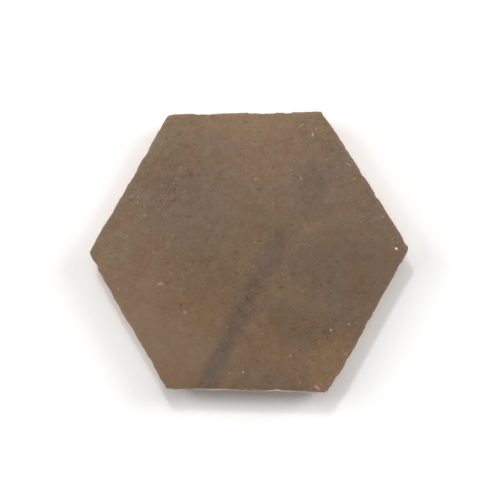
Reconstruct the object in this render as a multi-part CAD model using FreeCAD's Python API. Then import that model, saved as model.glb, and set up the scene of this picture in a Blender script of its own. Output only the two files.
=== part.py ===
"""Hand-cut hexagonal clay floor tile, face up, lying on its back.

One piece of fired clay. The face is a hexagon struck out by hand with a hammer and chisel, so no
side is quite true and each corner is knocked back by its own amount. The walls keep a short land
under the face and are then undercut towards a smaller back, so that tiles close up tightly at the
face and the mortar has room below it. Each blow of the chisel leaves a shallow scoop in the wall
that deepens towards the back.

Millimetres. +Z is up out of the face and the origin is the middle of the back. The corners and
sides are named as they lie in plan with +Y at the top and +X to the right.
"""

import FreeCAD, Part
import math
import os
import random
from collections import namedtuple

Vector = FreeCAD.Vector

# Driving sizes of the tile
across_flats = 140.0
thickness = 15.0

# Section of the walls, from the face down
arris_bevel = 0.55
land_height = 2.6
land_draft = 3.0
back_inset = 3.3

# The corners, counter-clockwise from the right: how far each one was cut off the true hexagon,
# and the radius to which it is knocked back
corner_names = ("right", "top_right", "top_left", "left", "bottom_left", "bottom_right")
corner_drift = {
    "right": (0.8, 1.9),
    "top_right": (-2.6, 0.5),
    "top_left": (0.6, -0.9),
    "left": (0.7, -1.0),
    "bottom_left": (-0.4, 0.5),
    "bottom_right": (0.9, -1.1),
}
corner_radius = {
    "right": 4.5,
    "top_right": 1.0,
    "top_left": 2.6,
    "left": 3.6,
    "bottom_left": 1.0,
    "bottom_right": 2.0,
}

# Chisel scoops: one blow every so far along a wall, each a shallow round hollow that starts
# under the land and bites deeper towards the back
blow_spacing = 13.0
blow_radius = 46.0
blow_bite_at_land = 0.45
blow_bite_at_back = 1.2
blow_unevenness = 0.45
blow_wander = 0.2
blow_lean = 7.0

# Chips struck out of the face's edge, each running down the wall at this slope. A chip lies on
# the side that starts at the named corner and goes counter-clockwise: share of that side's
# length, width and depth
chip_slope = 5.0
chips = (
    ("right", 0.05, 5.0, 0.7),
    ("right", 0.38, 3.4, 0.55),
    ("right", 0.55, 3.2, 0.5),
    ("right", 0.98, 9.0, 0.6),
    ("top_right", 0.22, 5.0, 0.4),
    ("top_right", 0.38, 13.0, 0.6),
    ("top_right", 0.76, 12.0, 0.5),
    ("top_left", 0.28, 6.0, 0.6),
    ("top_left", 0.47, 5.5, 0.55),
    ("top_left", 0.57, 5.0, 0.4),
    ("top_left", 0.71, 4.0, 0.5),
    ("left", 0.03, 8.0, 0.6),
    ("left", 0.09, 5.0, 0.8),
    ("left", 0.27, 4.5, 0.45),
    ("left", 0.68, 26.0, 0.3),
    ("left", 0.80, 3.2, 0.65),
    ("bottom_left", 0.41, 16.0, 0.3),
    ("bottom_left", 0.67, 3.4, 0.4),
    ("bottom_right", 0.06, 12.0, 0.8),
    ("bottom_right", 0.48, 4.5, 0.4),
    ("bottom_right", 0.87, 3.4, 0.3),
)


Side = namedtuple("Side", "start along outward length")


def face_corners():
    """The six corners of the face as they were cut, on the plane z = 0."""
    circumradius = across_flats / math.sqrt(3)
    corners = []
    for step, name in enumerate(corner_names):
        angle = 2 * math.pi * step / len(corner_names)
        drift_x, drift_y = corner_drift[name]
        corners.append(
            Vector(
                circumradius * math.cos(angle) + drift_x,
                circumradius * math.sin(angle) + drift_y,
                0,
            )
        )
    return corners


def side_frame(corners, index):
    """Start, unit direction, outward normal and length of the side after a corner."""
    start = corners[index]
    end = corners[(index + 1) % len(corners)]
    along = (end - start).normalize()
    outward = Vector(along.y, -along.x, 0)
    return Side(start, along, outward, (end - start).Length)


def inset_corners(corners, inset):
    """The corners of the hexagon whose sides lie the inset inside the given one."""
    moved = []
    for index in range(len(corners)):
        out_before = side_frame(corners, index - 1).outward
        out_after = side_frame(corners, index).outward
        bisector = (out_before + out_after).normalize()
        moved.append(corners[index] - bisector * (inset / bisector.dot(out_after)))
    return moved


def outline(corners, height):
    """Closed wire round the hexagon at a height, each corner rounded to its own radius."""
    lifted = [corner + Vector(0, 0, height) for corner in corners]
    arcs = []
    for index, name in enumerate(corner_names):
        before = side_frame(lifted, index - 1).along
        after = side_frame(lifted, index).along
        radius = corner_radius[name]
        half_turn = before.getAngle(after) / 2
        setback = radius * math.tan(half_turn)
        corner = lifted[index]
        to_centre = (after - before).normalize()
        middle = corner + to_centre * (radius / math.cos(half_turn) - radius)
        arcs.append((corner - before * setback, middle, corner + after * setback))
    edges = []
    for index, (first, middle, last) in enumerate(arcs):
        edges.append(Part.Arc(first, middle, last).toShape())
        edges.append(Part.makeLine(last, arcs[(index + 1) % len(arcs)][0]))
    return Part.Wire(edges)


def undercut_blank(corners):
    """The tile before the chisel marks: land under the face, then the undercut to the back."""
    levels = (
        (0, back_inset),
        (thickness - land_height, land_inset()),
        (thickness, 0),
    )
    wires = [outline(inset_corners(corners, inset), height) for height, inset in levels]
    return Part.makeLoft(wires, True, True)


def land_inset():
    """How far the foot of the land lies inside the edge of the face."""
    return land_height * math.tan(math.radians(land_draft))


def arris_envelope(corners):
    """A larger blank whose top edge slopes in at 45 degrees, to bevel whatever it is laid over."""
    reach = back_inset + thickness
    wide = outline(inset_corners(corners, arris_bevel - reach), thickness - reach)
    narrow = outline(inset_corners(corners, arris_bevel), thickness)
    return Part.makeLoft([wide, narrow], True, True)


def wall_groove(side, position, radius, upper, lower, lean):
    """A cylinder laid down a wall. Its nearest line to the middle of the tile passes through the
    upper and the lower point, each a height and an inset from the edge of the face."""
    upper_height, upper_inset = upper
    lower_height, lower_inset = lower
    drift = (upper_height - lower_height) * math.tan(math.radians(lean))
    top = side.start + side.along * position - side.outward * upper_inset
    top += Vector(0, 0, upper_height)
    foot = side.start + side.along * (position + drift) - side.outward * lower_inset
    foot += Vector(0, 0, lower_height)
    run = (top - foot).normalize()
    away = (side.outward - run * side.outward.dot(run)).normalize()
    overrun = 2 * thickness
    end = foot + away * radius - run * overrun
    return Part.makeCylinder(radius, (top - foot).Length + 2 * overrun, end, run)


def chisel_scoops(corners, index):
    """The row of scoops along one side, uneven as hammer blows are."""
    side = side_frame(corners, index)
    blows = max(1, round(side.length / blow_spacing))
    pitch = side.length / blows
    hand = random.Random(index + 1)
    scoops = []
    for blow in range(blows):
        position = pitch * (blow + 0.5 + hand.uniform(-1, 1) * blow_wander)
        at_land = blow_bite_at_land * (1 + hand.uniform(-1, 1) * blow_unevenness)
        at_back = blow_bite_at_back * (1 + hand.uniform(-1, 1) * blow_unevenness)
        upper = (thickness - land_height, land_inset() + at_land)
        lower = (0, back_inset + at_back)
        lean = hand.uniform(-1, 1) * blow_lean
        scoops.append(wall_groove(side, position, blow_radius, upper, lower, lean))
    return scoops


def edge_chip(corners, name, share, width, depth):
    """A chip of this width and depth at the face, struck down the wall."""
    side = side_frame(corners, corner_names.index(name))
    radius = (width * width / 4 + depth * depth) / (2 * depth)
    run_in = thickness * math.tan(math.radians(chip_slope))
    position = share * side.length
    return wall_groove(side, position, radius, (thickness, depth), (0, depth + run_in), 0)


def hexagon_tile():
    """The finished tile."""
    corners = face_corners()
    tile = undercut_blank(corners)
    blows = [scoop for index in range(len(corners)) for scoop in chisel_scoops(corners, index)]
    blows += [edge_chip(corners, *chip) for chip in chips]
    for blow in blows:
        tile = tile.cut(blow)
    return tile.common(arris_envelope(corners)).removeSplitter()


os.makedirs("parts", exist_ok=True)
hexagon_tile().exportStep("parts/hexagon_tile.step")
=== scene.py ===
import math

import bpy
import numpy as np
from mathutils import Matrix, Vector
from mathutils.bvhtree import BVHTree


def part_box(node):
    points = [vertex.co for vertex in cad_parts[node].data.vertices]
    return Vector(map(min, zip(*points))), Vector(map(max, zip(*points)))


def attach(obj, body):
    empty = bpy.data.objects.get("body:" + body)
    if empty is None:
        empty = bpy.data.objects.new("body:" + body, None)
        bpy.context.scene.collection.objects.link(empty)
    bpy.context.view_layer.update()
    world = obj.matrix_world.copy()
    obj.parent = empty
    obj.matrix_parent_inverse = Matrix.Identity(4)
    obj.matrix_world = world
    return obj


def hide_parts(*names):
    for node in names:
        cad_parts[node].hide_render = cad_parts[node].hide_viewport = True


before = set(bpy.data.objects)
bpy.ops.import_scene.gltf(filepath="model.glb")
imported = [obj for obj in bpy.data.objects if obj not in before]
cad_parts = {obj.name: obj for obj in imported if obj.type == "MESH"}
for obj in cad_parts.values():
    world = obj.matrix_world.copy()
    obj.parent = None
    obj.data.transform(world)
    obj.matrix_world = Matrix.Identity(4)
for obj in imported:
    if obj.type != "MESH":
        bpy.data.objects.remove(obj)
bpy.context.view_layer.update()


# The tile
#
# One piece of low-fired clay, pressed flat, fired brown and then struck to a hexagon with a hammer
# and chisel. The smooth face is its fired skin; the walls, the back and every chip show the paler,
# sandy clay inside. It lies loose on its back.

MM = 0.001
sides = 6
half_across = 70 * MM

cad_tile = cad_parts["hexagon_tile"]
lowest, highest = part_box("hexagon_tile")
back_level, face_level = lowest.z, highest.z
thickness = face_level - back_level

# Outline of the struck hexagon, read off the solid by level rays from its middle axis

wall_tree = BVHTree.FromPolygons(
    [vertex.co for vertex in cad_tile.data.vertices],
    [face.vertices for face in cad_tile.data.polygons],
)
hair = 0.004 * MM
corner_search_degrees = 8
fine_count = 1440
coarse_count = 960


def wall_reach(direction, height):
    """How far the wall stands from the middle axis in one direction, at one height."""
    level = min(max(height, back_level + hair), face_level - hair)
    hit = wall_tree.ray_cast(Vector((0, 0, level)), Vector((*direction, 0)))[0]
    return math.hypot(hit.x, hit.y)


def corner_point(corner):
    """The point of the face's outline that stands out farthest about one corner."""
    tenths = range(-10 * corner_search_degrees, 10 * corner_search_degrees + 1)
    turns = [math.radians(360 / sides * corner + tenth / 10) for tenth in tenths]
    rays = [(math.cos(turn), math.sin(turn)) for turn in turns]
    reach, ray = max((wall_reach(ray, face_level), ray) for ray in rays)
    return reach * np.array(ray)


corners = [corner_point(corner) for corner in range(sides)]
side_count = fine_count // sides
spokes = []
for side in range(sides):
    for share in np.arange(side_count) / side_count:
        point = corners[side] * (1 - share) + corners[(side + 1) % sides] * share
        spokes.append(point / np.hypot(*point))


def outline_at(height):
    """The outline of the solid at one height, a point on every spoke."""
    return np.array([wall_reach(spoke, height) * spoke for spoke in spokes])


# Rings of points, from the middle of the face over the arris to the middle of the back

rings = []


def add_ring(outline, count, height, inset, way_from_arris):
    """A ring of evenly spaced points that lies the inset inside an outline. Its way from the arris
    is less than nothing on the face, and more on the wall and the back."""
    at = np.arange(count) * len(outline) / count
    closed = np.vstack([outline, outline[:1]]) * (1 - inset / half_across)
    x, y = (np.interp(at, np.arange(len(closed)), closed[:, axis]) for axis in (0, 1))
    rings.append((np.stack([x, y, np.full(count, height)], axis=1), way_from_arris))


face_edge = outline_at(face_level)
face_rings = 104
face_band = 2.0 * MM
for step in range(face_rings + 1):
    inset = half_across - (half_across - face_band) * step / face_rings
    add_ring(face_edge, max(1, sides * step), face_level, inset, -inset)
edge_insets = (1.5, 1.05, 0.7, 0.42, 0.2, 0)
for inset in edge_insets:
    add_ring(face_edge, fine_count, face_level, inset * MM, -inset * MM)

arris_depths = (0.13, 0.26, 0.4, 0.55, 0.73, 0.95, 1.2, 1.5, 1.85, 2.25, 2.65)
wall_depths = np.arange(3.15, 14.3, 0.5)
foot_heights = (0.5, 0.28, 0.12, 0)
for depth in arris_depths:
    level = face_level - depth * MM
    add_ring(outline_at(level), fine_count, level, 0, depth * MM)
for depth in (*wall_depths, *(thickness / MM - height for height in foot_heights)):
    level = face_level - depth * MM
    add_ring(outline_at(level), coarse_count, level, 0, depth * MM)

back_edge = outline_at(back_level)
back_rings = 60
foot_band = 0.45 * MM
back_band = 1.3 * MM
add_ring(back_edge, coarse_count, back_level, foot_band, thickness + foot_band)
for step in range(back_rings, -1, -1):
    inset = half_across - (half_across - back_band) * step / back_rings
    add_ring(back_edge, max(1, sides * step), back_level, inset, thickness + inset)


def strip(first, first_count, second, second_count, level):
    """Triangles between two rings that start at these vertices. The ring that lags steps first."""
    faces = []
    i = j = 0
    while i < first_count or j < second_count:
        lead = (j + 1) * first_count - (i + 1) * second_count
        ends = first + i % first_count, second + j % second_count
        if lead < 0 or (lead == 0 and (i + level) % 2 == 0):
            j += 1
            faces.append((*ends, second + j % second_count))
        else:
            i += 1
            faces.append((*ends, first + i % first_count))
    return [face for face in faces if len(set(face)) == 3]


points = np.vstack([ring for ring, _ in rings])
from_arris = np.concatenate([np.full(len(ring), way_from_arris) for ring, way_from_arris in rings])
counts = [len(ring) for ring, _ in rings]
starts = np.cumsum([0, *counts])
triangles = []
for level, (count, next_count) in enumerate(zip(counts, counts[1:])):
    triangles += strip(starts[level], count, starts[level + 1], next_count, level)


def out_in_oval(x, y, length, width, turn):
    """How far out each vertex lies in an oval: 0 in its middle and 1 at its edge."""
    right, up = points[:, 0] / MM - x, points[:, 1] / MM - y
    cosine, sine = math.cos(math.radians(turn)), math.sin(math.radians(turn))
    lengthwise = (right * cosine + up * sine) / (length / 2)
    crosswise = (up * cosine - right * sine) / (width / 2)
    return np.hypot(lengthwise, crosswise)


def share_in_oval(x, y, length, width, turn, steepness):
    """1 about the middle of an oval, easing to 0 at its edge."""
    return np.clip(steepness * (1 - out_in_oval(x, y, length, width, turn)), 0, 1)


def near_arris(on_face, down_wall):
    """1 at the arris, easing to 0 so far in on the face and so far down the wall."""
    return np.clip(1 + from_arris / on_face, 0, 1) * np.clip(1 - from_arris / down_wall, 0, 1)


# Nicks and stones of the face

nicks = (
    # middle, length, width, turn, depth, shade: dark below 0, pale clay up to 1, a stone above
    (74.7, 1.4, 2.2, 1.9, 30, 0.35, 2.6),
    (72.7, 6.3, 1.2, 1.0, 0, 0.1, 0.5),
    (41.9, -39.5, 1.7, 1.3, 70, 0.2, 0.85),
    (41.2, -41.2, 1.6, 1.2, 20, 0.15, -0.3),
    (51.0, -36.5, 1.5, 1.1, 20, 0.15, 0.5),
    (-2.0, -60.7, 1.3, 1.2, 0, 0.15, 0.65),
    (-9.0, -61.2, 1.3, 1.1, 0, 0.1, 0.45),
    (35.2, -68.3, 4.4, 1.3, -35, 0.2, 0.8),
    (32.8, 58.6, 1.4, 3.2, 10, 0.3, 0.7),
    (34.4, 61.6, 1.1, 1.6, 0, 0.1, 0.4),
    (31.2, 60.0, 1.2, 2.0, 10, 0.1, -0.25),
    (27.3, 63.5, 3.2, 2.0, 20, 0.1, 0.3),
    (-43.4, -16.3, 4.4, 2.4, 10, 0.15, 0.42),
    (-31.3, -30.6, 2.2, 3.0, 15, 0.2, 0.35),
    (-33.1, -27.2, 2.2, 2.8, -20, 0.3, -0.4),
    (42.4, 50.8, 3.2, 2.4, -30, 0.2, -0.32),
    (51.5, 43.4, 2.4, 1.4, -55, 0.15, 0.35),
    (-36.8, 25.6, 1.9, 1.5, 0, 0.2, -0.4),
    (-36.3, 36.8, 1.2, 1.0, 0, 0.1, 0.35),
    (-33.2, 42.3, 1.2, 1.0, 0, 0.1, 0.35),
    (-54.9, 27.2, 1.5, 1.4, 0, 0.1, 0.35),
    (-58.0, 27.7, 1.9, 1.2, 20, 0.1, 0.35),
    (-54.9, 24.6, 1.6, 1.3, 50, 0.1, 0.3),
    (-5.0, -21.2, 1.2, 1.0, 0, 0.1, 0.35),
    (-15.6, -5.6, 1.2, 1.0, 0, 0.1, 0.3),
    (-29.2, 66.5, 2.0, 1.2, 30, 0.1, 0.25),
    (-32.3, 66.4, 1.3, 1.2, 0, 0.15, -0.25),
    (-28.6, 65.0, 1.5, 1.3, 0, 0.15, -0.25),
    (34.4, -44.4, 3.0, 2.0, 20, 0.1, -0.2),
    (-66.0, -12.7, 1.8, 1.2, 0, 0.1, 0.25),
    (28.3, 4.0, 1.8, 1.2, 20, 0.1, 0.25),
)
nick_bowl_spread = 1.6
nick_margin = 0.3 * MM
on_face = from_arris < -nick_margin
for x, y, length, width, turn, depth, _ in nicks:
    bowl = np.maximum(0, 1 - out_in_oval(x, y, length, width, turn) ** 2 / nick_bowl_spread)
    points[:, 2] -= on_face * depth * MM * bowl

# Small knocks that the arris took between the chips of the solid

knocks = {
    # place, width, depth
    "top side": (
        (-38.5, 68.0, 5.0, 0.5), (-34.6, 68.4, 5.2, 0.15), (-25.5, 68.6, 4.8, 0.14),
        (-19.0, 68.6, 2.8, 0.19), (-15.4, 68.6, 3.8, 0.29), (-8.4, 68.9, 11, 0.16),
        (7.5, 69.1, 4, 0.2), (1.7, 68.8, 3.2, 0.4), (11.8, 69.3, 4.8, 0.14),
        (17.9, 69.2, 11.8, 0.39), (25.7, 69.4, 6, 0.22), (36.5, 69.8, 5.2, 0.2),
    ),
    "upper right side": (
        (38.6, 68.1, 2.6, 0.23), (40.8, 64.4, 4.8, 0.38), (42.3, 62.3, 1.8, 0.22),
        (43.5, 60.4, 2.8, 0.21), (46.4, 56.0, 2.2, 0.16), (49.5, 51.4, 3.8, 0.14),
        (51.7, 47.7, 4.2, 0.24), (54.9, 42.9, 7.4, 0.16), (57.9, 37.9, 2.6, 0.34),
        (70.3, 18.9, 11.2, 0.23), (74.8, 11.9, 7, 0.16), (77.2, 8.0, 2.8, 0.21),
        (80.6, 1.0, 5.2, 0.1),
    ),
    "lower right side": (
        (75.0, -9.7, 6.8, 0.15), (71.4, -16.1, 1.8, 0.16), (70.0, -18.5, 4.2, 0.23),
        (66.9, -23.7, 11.8, 0.38), (64.1, -29.1, 1.8, 0.17), (62.9, -30.7, 2.2, 0.38),
        (61.0, -34.0, 9, 0.16), (59.3, -37.4, 1.6, 0.32), (58.3, -39.4, 2.2, 0.24),
        (56.1, -43.4, 4.2, 0.24), (50.2, -54.0, 8.8, 0.19), (45.9, -61.4, 7.4, 0.32),
        (44.2, -65.8, 6, 0.3), (49.5, -57.0, 8, 0.16), (41.1, -70.2, 5.4, 1.1),
    ),
    "bottom side": (
        (4.0, -70.7, 1.8, 0.2), (-11.5, -70.5, 2.2, 0.2), (-27.0, -70.5, 14, 0.3),
        (-36, -70.5, 12, 0.45),
    ),
    "lower left side": (
        (-41.8, -67.0, 7, 0.5), (-51.5, -50.0, 8, 0.18), (-45.4, -59.9, 9.2, 0.36),
        (-47.5, -56.5, 2.2, 0.19), (-48.8, -54.1, 2.8, 0.35), (-53.8, -46.1, 6.8, 0.14),
        (-57.8, -38.8, 10, 0.41), (-59.5, -36.0, 2.8, 0.16), (-65.0, -26.7, 6.8, 0.29),
        (-68.0, -21.4, 3.2, 0.3), (-70.5, -17.0, 3.6, 0.26), (-77.5, -5.4, 1.8, 0.2),
    ),
    "upper left side": (
        (-78.7, 1.5, 8, 0.3), (-69.1, 17.4, 1.6, 0.2), (-66.6, 21.2, 5, 0.3),
        (-65.0, 24.4, 4.8, 0.2), (-60.7, 31.5, 5.8, 0.31), (-56.3, 38.6, 5.2, 0.51),
        (-55.3, 40.8, 4.4, 0.26), (-52.5, 45.7, 7.2, 0.2), (-49.0, 51.5, 4.6, 0.24),
        (-43.5, 61.1, 3.2, 0.24),
    ),
}


def turn_of(x, y):
    """Which way a point lies from the middle, in radians, up to a whole turn."""
    return np.arctan2(y, x) % (2 * math.pi)


edge_turns = turn_of(face_edge[:, 0], face_edge[:, 1])
edge_order = np.argsort(edge_turns)
edge_steps = np.hypot(*(np.roll(face_edge, -1, axis=0) - face_edge).T)
edge_runs = np.concatenate([[0], np.cumsum(edge_steps)[:-1]])
girth = edge_steps.sum()


def run_along(x, y):
    """How far along the arris a point lies, counter-clockwise from the right."""
    runs = (edge_runs[edge_order] - edge_runs[edge_order[0]]) % girth
    return np.interp(turn_of(x, y), edge_turns[edge_order], runs)


vertex_runs = run_along(points[:, 0], points[:, 1])
struck = np.zeros(len(points))
for side_knocks in knocks.values():
    for x, y, width, depth in side_knocks:
        away = vertex_runs - run_along(x * MM, y * MM)
        away = (away + girth / 2) % girth - girth / 2
        struck += depth * MM * np.maximum(0, 1 - (2 * away / (width * MM)) ** 2)
struck *= near_arris(on_face=1.2 * MM, down_wall=5 * MM)
from_middle = np.maximum(np.hypot(points[:, 0], points[:, 1]), MM)
points[:, :2] *= (1 - struck / from_middle)[:, None]

# Where the arris is worn or chipped through to the pale clay

worn_places = (
    # name, middle, length, width, turn, how far the skin draws back
    ("right corner", 79.8, 4.5, 5, 5, 60, 1.0),
    ("left corner", -76.6, -6.8, 7, 5, -60, 1.1),
    ("foot of the left corner", -73.5, -12.5, 8, 4, -60, 0.6),
    ("foot of the right corner", 44.2, -67.0, 4, 9, -30, 0.9),
    ("bottom side, left", -17, -70.6, 42, 6, 0, 1.2),
    ("bottom side, right", 16, -70.9, 52, 6, 0, 0.8),
    ("lump in the bottom side", 15, -70.4, 3.8, 4, 0, 0.9),
    ("bottom left corner", -39.5, -70, 6, 5, 0, 0.6),
)
worn = np.zeros(len(points))
for _, x, y, length, width, turn, retreat in worn_places:
    worn += retreat * share_in_oval(x, y, length, width, turn, steepness=1.6)
rub_depth = 0.3 * MM
points[:, 2] -= rub_depth * worn * near_arris(on_face=1.5 * MM, down_wall=1.4 * MM)

# Where the skin is coarse and pitted and where it is calm

coarse_places = (
    # name, middle, length, width, turn, how much coarser than elsewhere
    ("coarse top left", -38, 36, 58, 48, 20, 0.34),
    ("coarse under the smoke cloud", -22, 4, 50, 40, 0, 0.1),
    ("pitted streak", 1, -24, 50, 15, 62, 0.45),
    ("pitted streak foot", -14, -50, 34, 12, 63, 0.15),
    ("coarse right foot", 44, -38, 40, 24, -20, 0.14),
    ("coarse by the chip", 34, 58, 26, 20, -60, 0.2),
    ("calm lower left", -50, -38, 96, 48, -58, -0.36),
    ("calm foot", -20, -56, 66, 26, 0, -0.2),
    ("calm right edge", 72, -16, 26, 44, 20, -0.12),
    ("calm top", 4, 64, 60, 22, 0, -0.26),
    ("calm upper left edge", -50, 50, 14, 34, -30, -0.3),
)
plain_coarseness = 0.66
coarseness = np.full(len(points), plain_coarseness)
for _, x, y, length, width, turn, more in coarse_places:
    coarseness += more * share_in_oval(x, y, length, width, turn, steepness=1.2)

tile_mesh = bpy.data.meshes.new("Struck clay hexagon")
tile_mesh.from_pydata(points.tolist(), [], triangles)
for name, values in (("from_arris", from_arris), ("worn", worn), ("coarse", coarseness)):
    tile_mesh.attributes.new(name, "FLOAT", "POINT").data.foreach_set("value", values)
blank = bpy.data.objects.new("Hexagon blank", tile_mesh)
bpy.context.scene.collection.objects.link(blank)


# Nodes, for the relief of the clay and for its finish


class Out:
    """One output of a node. Sums written with it become Math nodes beside it."""

    def __init__(self, bench, socket):
        self.bench = bench
        self.socket = socket

    def named(self, identifier):
        """Another output of the same node."""
        outputs = {socket.identifier: socket for socket in self.socket.node.outputs}
        return Out(self.bench, outputs[identifier])

    def math(self, operation, first, second):
        terms = {"Value": first, "Value_001": second}
        return self.bench.add("ShaderNodeMath", {"operation": operation}, terms)

    def __add__(self, other):
        return self.math("ADD", self, other)

    def __radd__(self, other):
        return self.math("ADD", other, self)

    def __sub__(self, other):
        return self.math("SUBTRACT", self, other)

    def __rsub__(self, other):
        return self.math("SUBTRACT", other, self)

    def __mul__(self, other):
        return self.math("MULTIPLY", self, other)

    def __rmul__(self, other):
        return self.math("MULTIPLY", other, self)

    def __truediv__(self, other):
        return self.math("DIVIDE", self, other)

    def __rtruediv__(self, other):
        return self.math("DIVIDE", other, self)

    def most(self, other):
        """The greater of the two."""
        return self.math("MAXIMUM", self, other)


class Bench:
    """A node tree under construction. Sockets go by their identifiers."""

    def __init__(self, tree):
        self.tree = tree
        tree.nodes.clear()

    def add(self, kind, settings=None, values=None):
        """A node of this kind: its settings first, then the values or links of its sockets."""
        node = self.tree.nodes.new(kind)
        for name, setting in (settings or {}).items():
            setattr(node, name, setting)
        sockets = {socket.identifier: socket for socket in node.inputs}
        for identifier, value in (values or {}).items():
            if isinstance(value, Out):
                self.tree.links.new(sockets[identifier], value.socket)
            else:
                sockets[identifier].default_value = value
        shown = [socket for socket in node.outputs if socket.enabled]
        return Out(self, shown[0]) if shown else None

    def noise(self, where, size, detail=2.0, roughness=0.5):
        """Cloudy noise about 0.5, whose lumps are about this size."""
        values = {"Vector": where, "Scale": 1 / size, "Detail": detail, "Roughness": roughness}
        return self.add("ShaderNodeTexNoise", {}, values)

    def ramp(self, value, start, end):
        """Eases from 0 at start to 1 at end."""
        values = {"Value": value, "From Min": start, "From Max": end}
        return self.add("ShaderNodeMapRange", {"interpolation_type": "SMOOTHSTEP"}, values)

    def vector(self, operation, first, **others):
        """A step of Vector Math. The others go by their sockets' identifiers."""
        return self.add("ShaderNodeVectorMath", {"operation": operation}, {"Vector": first} | others)


# Relief of the clay, all of it cut into the solid so that nothing stands out of it

relief_tree = bpy.data.node_groups.new("Clay relief", "GeometryNodeTree")
relief = Bench(relief_tree)
relief_inputs = {}


def relief_input(name, kind, value):
    """A named input of the relief tree, with the value that the tile gives it."""
    socket = relief_tree.interface.new_socket(name=name, in_out="INPUT", socket_type=kind)
    relief_inputs[socket.identifier] = value
    return socket.identifier


relief_names = {
    name: relief_input(name, kind, value)
    for name, kind, value in (
        ("Tile", "NodeSocketGeometry", None),
        ("Swell depth", "NodeSocketFloat", 0.22 * MM),
        ("Swell size", "NodeSocketFloat", 34 * MM),
        ("Sand depth", "NodeSocketFloat", 0.035 * MM),
        ("Sand size", "NodeSocketFloat", 1.5 * MM),
        ("Pit depth", "NodeSocketFloat", 0.16 * MM),
        ("Pit spacing", "NodeSocketFloat", 3.4 * MM),
        ("Pit radius", "NodeSocketFloat", 0.85 * MM),
        ("Pit seed", "NodeSocketInt", 5),
        ("Knock depth", "NodeSocketFloat", 0.3 * MM),
        ("Knock size", "NodeSocketFloat", 2.3 * MM),
        ("Arris wear", "NodeSocketFloat", 0.14 * MM),
        ("Hackle depth", "NodeSocketFloat", 1.05 * MM),
        ("Hackle size", "NodeSocketFloat", 6 * MM),
        ("Board depth", "NodeSocketFloat", 0.2 * MM),
        ("Clay", "NodeSocketMaterial", None),
    )
}
relief_result = relief_tree.interface.new_socket(
    name="Tile", in_out="OUTPUT", socket_type="NodeSocketGeometry"
).identifier
source = relief.add("NodeGroupInput")
given = {name: source.named(identifier) for name, identifier in relief_names.items()}

place = relief.add("GeometryNodeInputPosition")
straight_out = relief.add("GeometryNodeInputNormal")
arris_way = relief.add(
    "GeometryNodeInputNamedAttribute", {"data_type": "FLOAT"}, {"Name": "from_arris"}
)
ease = 0.6 * MM
face_share = relief.ramp(arris_way, 0.0, -ease)
back_share = relief.ramp(arris_way, thickness, thickness + ease)
wall_share = relief.ramp(arris_way, 0.5 * MM, 2.4 * MM) * (1 - back_share)


def band(start, full, still_full, end):
    """1 along a band round the tile, easing in and out at these ways from the arris."""
    return relief.ramp(arris_way, start, full) * relief.ramp(arris_way, end, still_full)


def in_lumps(where, size, shift):
    """A place measured in lumps of this size. The shift gives each use a noise of its own."""
    near = relief.vector("SCALE", where, Scale=1 / size)
    return relief.vector("ADD", near, Vector_001=(shift, shift, shift))


def lumps(size, detail=2.0, roughness=0.5, shift=0.0):
    """Noise in the clay whose lumps have the size given by an input."""
    return relief.noise(in_lumps(place, size, shift), 1.0, detail, roughness)


# The slow swell of the pressed face, and its sand

swell = given["Swell depth"] * lumps(given["Swell size"], 1.5) * face_share
sand = given["Sand depth"] * lumps(given["Sand size"], 3.0, 0.6)

# Pits where grit fell out of the face

pit_margin = 1.2 * MM
pit_density = 60000.0
pit_size_seed = 3
smallest_pit = 0.35
shallowest_pit = 0.2
pitted = relief.add(
    "FunctionNodeCompare",
    {"data_type": "FLOAT", "operation": "LESS_THAN"},
    {"A": arris_way, "B": -pit_margin},
)
pits = relief.add(
    "GeometryNodeDistributePointsOnFaces",
    {"distribute_method": "POISSON"},
    {
        "Mesh": given["Tile"],
        "Selection": pitted,
        "Distance Min": given["Pit spacing"],
        "Density Max": pit_density,
        "Seed": given["Pit seed"],
    },
)
pit_way = relief.add(
    "GeometryNodeProximity", {"target_element": "POINTS"}, {"Target": pits}
).named("Distance")
pit_index = relief.add(
    "GeometryNodeSampleNearest", {}, {"Geometry": pits, "Sample Position": place}
)
pit_chance = relief.add(
    "FunctionNodeRandomValue",
    {"data_type": "FLOAT"},
    {"Min_001": 0.0, "Max_001": 1.0, "ID": pit_index, "Seed": pit_size_seed},
)
pit_size = pit_chance * pit_chance * pit_chance
pit_radius = given["Pit radius"] * (smallest_pit + pit_size)
pit_bowl = relief.ramp(pit_way / pit_radius, 1.0, 0.25)
pit_fill = shallowest_pit + pit_size
pit = given["Pit depth"] * pit_fill * pit_bowl * face_share

# Crumbling and wear of the arris

knock_place = relief.vector("MULTIPLY", place, Vector_001=(1, 1, 0.35))
knock_near = relief.vector("SCALE", knock_place, Scale=1 / given["Knock size"])
knock_small = relief.ramp(relief.noise(knock_near, 1.0, 2.0, 0.6), 0.45, 0.78)
knock_large = relief.ramp(relief.noise(knock_near, 3.6, 1.0), 0.4, 0.75)
knock_fade = band(-2.2 * MM, 0.0, 0.4 * MM, 6 * MM)
knock = given["Knock depth"] * (0.55 * knock_small + 0.45 * knock_large) * knock_fade
wear_fade = band(-1.5 * MM, 0.1 * MM, 0.3 * MM, 1.4 * MM)
wear = given["Arris wear"] * wear_fade * (0.4 + lumps(given["Knock size"], 2.0, 0.5, 7.0))

# Hackle of the struck walls, and the back rough from the drying board

upright = relief.vector("MULTIPLY", place, Vector_001=(1, 1, 0.6))


def scars(size, shift):
    """Scars of struck flakes: bowls, each of its own depth, that meet in sharp ridges."""
    where = in_lumps(upright, size, shift)
    cells = relief.add("ShaderNodeTexVoronoi", {}, {"Vector": where, "Scale": 1.0})
    chance = relief.add("ShaderNodeSeparateXYZ", {}, {"Vector": cells.named("Color")})
    return (1 - cells * cells).most(0.0) * (0.3 + 0.7 * chance)


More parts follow.
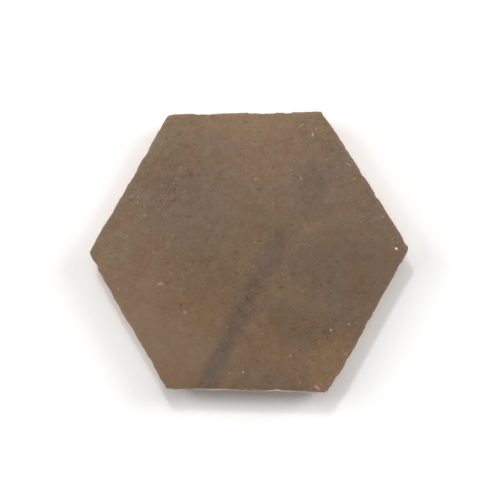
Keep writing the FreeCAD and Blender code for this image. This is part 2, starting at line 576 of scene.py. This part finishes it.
crumbled = relief.ramp(lumps(given["Hackle size"], 5.0, 0.68, 3.0), 0.3, 0.75)
large_scars = scars(given["Hackle size"], 0.0)
small_scars = scars(0.4 * given["Hackle size"], 9.0)
hollow = 0.6 * large_scars + 0.3 * small_scars + 0.35 * crumbled
hackle = given["Hackle depth"] * wall_share * hollow
board = given["Board depth"] * back_share * lumps(given["Hackle size"], 5.0, 0.6, 11.0)
foot_fade = band(thickness - 1.6 * MM, thickness, thickness, thickness + 1.2 * MM)
foot_wear = 3.5 * given["Arris wear"] * foot_fade * lumps(given["Knock size"], 2.0, 0.5, 5.0)

inward = relief.vector(
    "SCALE", straight_out, Scale=0 - (swell + sand + pit + wear + hackle + board + foot_wear)
)
flat_place = relief.vector("MULTIPLY", place, Vector_001=(1, 1, 0))
sideways = relief.vector("SCALE", relief.vector("NORMALIZE", flat_place), Scale=0 - knock)
carved = relief.add(
    "GeometryNodeSetPosition",
    {},
    {"Geometry": given["Tile"], "Offset": relief.vector("ADD", inward, Vector_001=sideways)},
)
for name, value in (("pit", pit_bowl * pit_fill * face_share), ("hollow", hollow * wall_share)):
    carved = relief.add(
        "GeometryNodeStoreNamedAttribute",
        {"data_type": "FLOAT", "domain": "POINT"},
        {"Geometry": carved, "Name": name, "Value": value},
    )
smooth = relief.add("GeometryNodeSetShadeSmooth", {}, {"Geometry": carved})
whole = relief.add("GeometryNodeRealizeInstances", {}, {"Geometry": smooth})
finished = relief.add(
    "GeometryNodeSetMaterial", {}, {"Geometry": whole, "Material": given["Clay"]}
)
relief.add("NodeGroupOutput", {}, {relief_result: finished})

# Fired clay, its colours written as they show under plain light, with some painted light and shade
# among them

clay = bpy.data.materials.new("Fired clay")
clay.use_nodes = True
paint = Bench(clay.node_tree)
surface = paint.vector("SCALE", paint.add("ShaderNodeTexCoord").named("Object"), Scale=1 / MM)
through_clay = 1e4


def linear(red, green, blue):
    """A colour written 0 to 255 as a screen shows it, in the renderer's own measure."""
    shares = [channel / 255 for channel in (red, green, blue)]
    return (*(s / 12.92 if s < 0.04045 else ((s + 0.055) / 1.055) ** 2.4 for s in shares), 1.0)


def measure(name):
    """A measure that every point of the tile's mesh carries."""
    return paint.add("ShaderNodeAttribute", {"attribute_name": name}).named("Fac")


def drift(where, size, reach):
    """Moves a place about by noise, so that the edges of stains and marks wander."""
    push = paint.noise(where, size).named("Color")
    centred = paint.vector("SUBTRACT", push, Vector_001=(0.5, 0.5, 0.5))
    return paint.vector("ADD", where, Vector_001=paint.vector("SCALE", centred, Scale=reach))


def oval(where, x, y, length, width, turn, solid):
    """1 within an oval on the face and 0 outside it, easing between the two."""
    values = {
        "Vector": where,
        "Location": (x, y, 0),
        "Rotation": (0, 0, math.radians(turn)),
        "Scale": (length / 2, width / 2, through_clay),
    }
    unit = paint.add("ShaderNodeMapping", {"vector_type": "TEXTURE"}, values)
    return paint.ramp(paint.vector("LENGTH", unit).named("Value"), 1.0, solid)


def tinted(colour, share, tint):
    """The colour times the tint, where share is 1."""
    values = {"Factor_Float": share, "A_Color": colour, "B_Color": (*tint, 1.0)}
    settings = {"data_type": "RGBA", "blend_type": "MULTIPLY"}
    return paint.add("ShaderNodeMix", settings, values)


def covered(colour, share, other):
    """The other colour where share is 1."""
    values = {"Factor_Float": share, "A_Color": colour, "B_Color": other}
    return paint.add("ShaderNodeMix", {"data_type": "RGBA"}, values)


# The brown skin, paler and greyer towards the top and darker towards the right, partly its own tone
# and partly painted light from above and painted shade

skin_brown = linear(127, 100, 78)
gradient_reach = 100
split = paint.add("ShaderNodeSeparateXYZ", {}, {"Vector": surface})
tone_and_painted_light_to_top = paint.ramp(split.named("Y"), -gradient_reach, gradient_reach)
tone_and_painted_shade_to_right = paint.ramp(split.named("X"), -gradient_reach, gradient_reach)
skin = tinted(skin_brown, tone_and_painted_light_to_top, (1.32, 1.44, 1.74))
skin = tinted(skin, tone_and_painted_shade_to_right, (0.85, 0.87, 0.94))

# What the kiln did to it; the buff top stains also carry painted light from above

kiln_stains = (
    # name, middle, length, width, turn, how far out it is whole, tint
    ("smoke streak foot", -18, -61.5, 48, 15, 63, 0.3, (0.73, 0.8, 1)),
    ("smoke streak toe", -21.5, -66, 24, 17, 45, 0.3, (1, 1.01, 1.01)),
    ("smoke streak", -6, -36.5, 52, 15, 63, 0.3, (0.77, 0.82, 0.94)),
    ("smoke streak upper", 9.5, -6, 58, 17, 63, 0.3, (0.8, 0.82, 0.96)),
    ("smoke streak tip", 18.5, 9.5, 21, 18, 60, 0.2, (0.93, 0.89, 0.84)),
    ("smoke blotch", 32, 32.5, 35, 23, 58, 0.2, (0.85, 0.88, 1.02)),
    ("smoke cloud", -30, 24, 82, 69, -9, 0.2, (0.9, 0.92, 1.02)),
    ("smoke cloud at the edge", -57.5, 28, 33, 20, 3, 0.2, (1.02, 1.09, 1.22)),
    ("smoked middle", -19.5, -11.5, 61, 47, -12, 0.2, (0.88, 0.87, 0.85)),
    ("smoked right", 46.5, -8.5, 82, 48, -3, 0.3, (0.85, 0.85, 0.87)),
    ("warm in the smoked right", 55.5, -13, 23, 41, -17, 0.2, (1.01, 0.97, 0.88)),
    ("dark smudge", 23, -36, 54, 29, -22, 0.3, (0.85, 0.84, 0.82)),
    ("dark smudge right", 48, -28, 40, 28, 57, 0.2, (0.94, 0.98, 1.05)),
    ("smoked foot", 8, -65.5, 48, 18, -12, 0.2, (0.95, 0.99, 1.15)),
    ("iron bloom by the streak", -22.5, -29, 33, 34, -30, 0.2, (1.03, 0.98, 0.89)),
    ("pale band by the streak", -27.5, -46, 46, 22, 127, 0.2, (1.07, 1.1, 1.21)),
    ("ochre by the streak", 9.5, -43, 36, 26, -66, 0.2, (1.05, 1.03, 0.98)),
    ("ochre corner", 43.5, -56, 41, 31, 57, 0.3, (1.26, 1.22, 1.07)),
    ("rubbed corner", 37, -69, 14, 17, 90, 0.2, (1.3, 1.29, 1.53)),
    ("pink left", -55.5, -15, 48, 20, -9, 0.2, (1.03, 1, 1.05)),
    ("buff lower left", -49.5, -44, 92, 36, -56, 0.2, (1.06, 1.08, 1.16)),
    ("buff left corner", -71, 0, 32, 38, 0, 0.2, (1.02, 1.08, 1.1)),
    # The buff top stains are partly the clay's own buff and partly painted light falling on the top
    # of the face
    ("buff top", 8.5, 67.5, 129, 38, -7, 0.1, (1.16, 1.13, 1)),
    ("buff top middle", 10.5, 49.5, 61, 46, -2, 0.2, (1.06, 1.03, 0.99)),
    ("brown in the buff top", 18, 61.5, 36, 20, 0, 0.2, (0.96, 0.97, 1.05)),
    ("brown arc", 31.5, 19, 34, 13, 9, 0.2, (0.9, 0.9, 0.92)),
    ("brown tongue", 4.5, 12, 39, 34, 30, 0.2, (0.91, 0.9, 0.85)),
    ("buff top left", -42.5, 55, 43, 18, 59, 0.2, (0.99, 1.03, 1.04)),
    ("pale patch by the smoke blotch", 32, 12, 18, 9, 10, 0.2, (1.12, 1.12, 1.08)),
    ("warm foot", 21.5, -53.5, 38, 21, -1, 0.2, (1.09, 1.04, 1)),
)
wandering = drift(drift(surface, 12, 2), 2.5, 1.6)
for _, x, y, length, width, turn, solid, tint in kiln_stains:
    skin = tinted(skin, oval(wandering, x, y, length, width, turn, solid), tint)

# Its fine colour: clouds, iron bloom, olive and brown mottle, and sand

coarse = measure("coarse")
cloud = paint.noise(surface, 9, 3.0, 0.55)
skin = tinted(skin, paint.ramp(cloud, 0.35, 0.65), (0.94, 0.94, 0.95))
bloom = paint.noise(drift(surface, 6, 3), 8.5, 1.5)
skin = tinted(skin, paint.ramp(bloom, 0.35, 0.65), (1.05, 0.995, 0.93))
olive = paint.noise(paint.vector("ADD", surface, Vector_001=(0, 0, 40)), 5.5, 5.0, 0.85)
skin = tinted(skin, paint.ramp(olive, 0.3, 0.7), (0.945, 1.095, 0.95))
mottle = paint.noise(surface, 4.5, 4.0, 1.0)
skin = tinted(skin, paint.ramp(mottle, 0.3, 0.7) * coarse, (0.72, 0.655, 0.57))
sand_grain = paint.noise(surface, 0.6, 2.0, 0.8)
skin = tinted(skin, paint.ramp(sand_grain, 0.3, 0.7) * coarse, (0.83, 0.77, 0.7))

# Single dark and pale grains, and the skin darker in the pits

ragged = drift(drift(surface, 1.4, 1.2), 0.5, 0.5)
dragged = paint.vector("MULTIPLY", ragged, Vector_001=(0.45, 1, 1))


def grains(where, size, share, radius, shift):
    """Single grains strewn through the clay: 1 in a grain, for this share of the cells."""
    values = {
        "Vector": paint.vector("ADD", where, Vector_001=(shift, shift, 0)),
        "Scale": 1 / size,
    }
    cells = paint.add("ShaderNodeTexVoronoi", {}, values)
    chance = paint.add("ShaderNodeSeparateColor", {}, {"Color": cells.named("Color")})
    chosen = paint.ramp(chance.named("Red"), 1 - share, 1 - share + 0.02)
    reach = radius * (0.5 + 0.8 * chance.named("Green"))
    return chosen * paint.ramp(cells / reach, 1.0, 0.35) * coarse


dark_grains = grains(ragged, 1.5, 0.36, 0.4, 0).most(grains(dragged, 2.6, 0.3, 0.3, 57))
skin = tinted(skin, dark_grains, (0.62, 0.56, 0.5))
pale_grains = grains(ragged, 1.7, 0.4, 0.34, 31)
skin = tinted(skin, pale_grains, (1.34, 1.5, 1.74))
bright_grains = grains(ragged, 4.6, 0.35, 0.19, 83)
skin = tinted(skin, bright_grains, (1.55, 1.8, 2.2))
skin = tinted(skin, paint.ramp(measure("pit"), 0.2, 0.9), (0.86, 0.82, 0.78))

# The skin is rubbed a little paler towards the arris

way = measure("from_arris") / MM
skin = tinted(skin, paint.ramp(way, -1.8, 0.2), (1.16, 1.23, 1.3))

# The clay inside, pale and sandy, on the walls, on the back and in every chip

raw_clay = linear(226, 194, 160)
raw_clay_deep = linear(212, 174, 137)
arris_dust = linear(212, 191, 170)
body_cloud = paint.ramp(paint.noise(surface, 7, 4.0, 0.6), 0.35, 0.65)
body = covered(raw_clay, body_cloud, raw_clay_deep)
body_sand = paint.ramp(paint.noise(surface, 0.9, 3.0, 0.8), 0.35, 0.7)
body = tinted(body, body_sand, (0.78, 0.75, 0.71))
# Painted shade: the clay is darker in the hollows of the struck scars on the walls
body = tinted(body, paint.ramp(measure("hollow"), 0.2, 0.7), (0.74, 0.67, 0.6))
body = tinted(body, dark_grains, (0.66, 0.6, 0.55))
body = tinted(body, pale_grains, (1.16, 1.2, 1.24))
worn_through = measure("worn")
dusty = paint.ramp(worn_through, 0.2, 0.9) * paint.ramp(way, 1.8, 0.8)
body = covered(body, dusty, arris_dust)

# Where the skin ends: it turns over the arris and stops, sooner where the arris is worn

skin_turn = 0.55
skin_wander = 0.9
skin_break = 0.12
edge_wander = paint.noise(surface, 1.6, 3.0, 0.6)
skin_end = skin_turn + skin_wander * (edge_wander - 0.5) - worn_through
bare = paint.ramp(way - skin_end, -skin_break, skin_break)
colour = covered(skin, bare, body)

# The nicks, pale or grimy, and the stones

nick_clay = linear(196, 172, 146)
stone_white = linear(241, 221, 203)
crisp = drift(drift(surface, 2.4, 1.5), 0.7, 0.7)
for x, y, length, width, turn, _, shade in nicks:
    inside = oval(crisp, x, y, length, width, turn, 0.25)
    if shade < 0:
        colour = tinted(colour, inside * -shade, (0.0, 0.0, 0.0))
    else:
        pale = stone_white if shade > 1 else nick_clay
        colour = covered(colour, inside * min(shade, 1), pale)

# Its roughness and its finest grain

skin_roughness = 0.66
rough = skin_roughness + 0.14 * sand_grain + 0.16 * bare
skin_height = 0.5 * sand_grain + 0.5 * mottle - 0.6 * dark_grains
wall_height = paint.noise(surface, 1.1, 4.0, 0.8) * bare
skin_bump = paint.add(
    "ShaderNodeBump", {}, {"Height": skin_height, "Distance": 0.16 * MM, "Strength": 0.6}
)
bump = paint.add(
    "ShaderNodeBump",
    {},
    {"Height": wall_height, "Distance": 0.6 * MM, "Strength": 0.8, "Normal": skin_bump},
)
shader = paint.add(
    "ShaderNodeBsdfPrincipled",
    {},
    {
        "Base Color": colour,
        "Roughness": rough,
        "Normal": bump,
        "Specular IOR Level": 0.35,
        "Diffuse Roughness": 0.4,
    },
)
paint.add("ShaderNodeOutputMaterial", {}, {"Surface": shader})

# The finished tile, a plain mesh

relief_inputs[relief_names["Clay"]] = clay
modifier = blank.modifiers.new("Clay relief", "NODES")
modifier.node_group = relief_tree
for identifier, value in relief_inputs.items():
    if value is not None:
        modifier[identifier] = value
evaluated = blank.evaluated_get(bpy.context.evaluated_depsgraph_get())
tile = bpy.data.objects.new("Struck_hexagon_tile", bpy.data.meshes.new_from_object(evaluated))
blank.modifiers.remove(modifier)
bpy.data.objects.remove(blank)
bpy.context.scene.collection.objects.link(tile)
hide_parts("hexagon_tile")
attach(tile, "root")


# The floor
#
# A pale, matt studio floor on which the tile lies loose. It keeps the tile's shadow, and the camera
# sees it whiter than the light that it throws back at the tile.

floor_reach = 4.0
floor_grey = 0.8
floor_lift = 0.25


def seen(bench):
    """1 where the camera, a reflection or glass looks, and 0 for light that falls elsewhere."""
    rays = bench.add("ShaderNodeLightPath")
    direct = rays.named("Is Camera Ray").most(rays.named("Is Glossy Ray"))
    return direct.most(rays.named("Is Transmission Ray"))


floor_mesh = bpy.data.meshes.new("Floor")
floor_mesh.from_pydata(
    [
        (x * floor_reach, y * floor_reach, back_level)
        for x, y in ((-1, -1), (1, -1), (1, 1), (-1, 1))
    ],
    [],
    [(0, 1, 2, 3)],
)
floor = bpy.data.objects.new("Floor", floor_mesh)
bpy.context.scene.collection.objects.link(floor)
floor_finish = bpy.data.materials.new("Pale floor")
floor_finish.use_nodes = True
floor_paint = Bench(floor_finish.node_tree)
floor_level = floor_grey + floor_lift * seen(floor_paint)
floor_colour = floor_paint.add(
    "ShaderNodeCombineXYZ", {}, {"X": floor_level, "Y": floor_level, "Z": floor_level}
)
floor_shader = floor_paint.add("ShaderNodeBsdfDiffuse", {}, {"Color": floor_colour})
floor_paint.add("ShaderNodeOutputMaterial", {}, {"Surface": floor_shader})
floor_mesh.materials.append(floor_finish)


# The light
#
# Soft studio light from large sources all round, with three small keys beyond the tile and to its
# left that throw the short shadow towards the lower right. The world is white to the camera.

lamps = (
    # name, turn from +Y towards +X, height, width of the source, share of the floor's light
    ("key", -15, 50.5, 6.5, 0.175),
    ("second key", -45, 57, 8, 0.045),
    ("side key", -75, 48, 8, 0.042),
    ("high", 5, 66, 36, 0.168),
    ("high near", 180, 66, 36, 0.11),
    ("left", -60, 34, 22, 0.066),
    ("low left", -80, 24, 40, 0.112),
    ("right", 60, 48, 22, 0.06),
    ("low right", 60, 34, 22, 0.092),
    ("wide right", 68, 24, 40, 0.083),
    ("far", 0, 24, 40, 0.04),
)
for name, turn, climb, spread, share in lamps:
    turn, climb = math.radians(turn), math.radians(climb)
    lamp = bpy.data.lights.new(name + " lamp", "SUN")
    lamp.angle = math.radians(spread)
    lamp.energy = share * math.pi / math.sin(climb)
    holder = bpy.data.objects.new(name + " lamp", lamp)
    bpy.context.scene.collection.objects.link(holder)
    level = math.cos(climb)
    holder.location = (level * math.sin(turn), level * math.cos(turn), math.sin(climb))
    holder.rotation_mode = "QUATERNION"
    holder.rotation_quaternion = holder.location.to_track_quat("Z", "Y")

sky_glow = 0.01
world = bpy.data.worlds.new("Studio")
world.use_nodes = True
bpy.context.scene.world = world
sky = Bench(world.node_tree)
sky_strength = sky_glow + (1 - sky_glow) * seen(sky)
sky_light = sky.add(
    "ShaderNodeBackground", {}, {"Color": (1, 1, 1, 1), "Strength": sky_strength}
)
sky.add("ShaderNodeOutputWorld", {}, {"Surface": sky_light})


# The camera
#
# Straight above with a long lens, a little right of the middle, as in the photograph. It stands so
# far off that the undercut walls hardly show.

lens_height = 2.4
view_width = 0.2508
aim_right = 1.327 * MM
aim_up = 0.717 * MM
film_width = 36
camera_data = bpy.data.cameras.new("Camera")
camera_data.sensor_width = film_width
camera_data.lens = film_width * lens_height / view_width
camera = bpy.data.objects.new("Camera", camera_data)
bpy.context.scene.collection.objects.link(camera)
camera.location = (aim_right, aim_up, face_level + lens_height)
bpy.context.scene.camera = camera

bpy.context.scene.view_settings.view_transform = "Standard"
